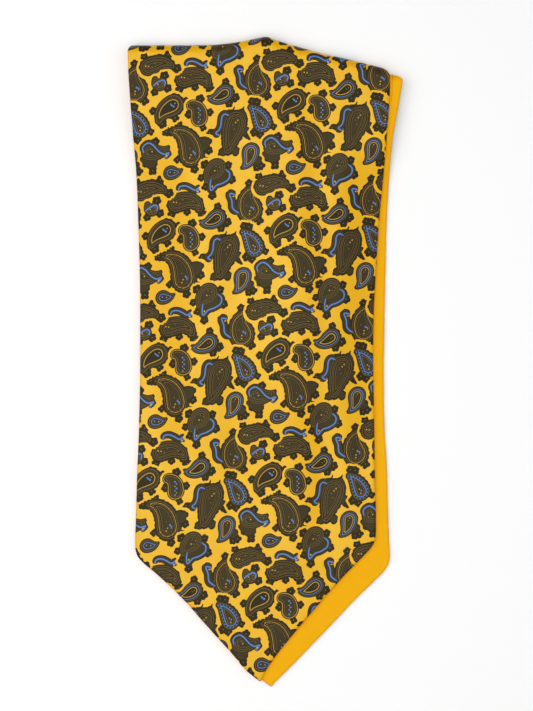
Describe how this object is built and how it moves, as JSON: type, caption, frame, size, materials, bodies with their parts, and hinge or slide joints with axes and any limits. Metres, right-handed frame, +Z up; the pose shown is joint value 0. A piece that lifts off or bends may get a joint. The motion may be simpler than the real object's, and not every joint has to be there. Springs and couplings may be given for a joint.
{
  "type": "folded silk cravat",
  "caption": "Day cravat of paisley-printed silk with a plain gold backing, folded in half at the neck and laid flat, pleated neckband turned under.",
  "frame": {"origin": "middle of the footprint, on the surface that the cravat lies on", "axes": "+Z up from that surface, -Y along the blades towards their points, +X to the right as seen from above with the points towards the viewer"},
  "size_m": [0.1743, 0.4126, 0.0112],
  "materials": {
    "printed_silk": "satin",
    "plain_silk": "satin"
  },
  "bodies": {
    "root": {"front_face": "printed_silk", "front_backing": "plain_silk", "rear_backing": "plain_silk", "rear_face": "printed_silk", "folded_neck": "printed_silk"}
  },
  "joints": []
}
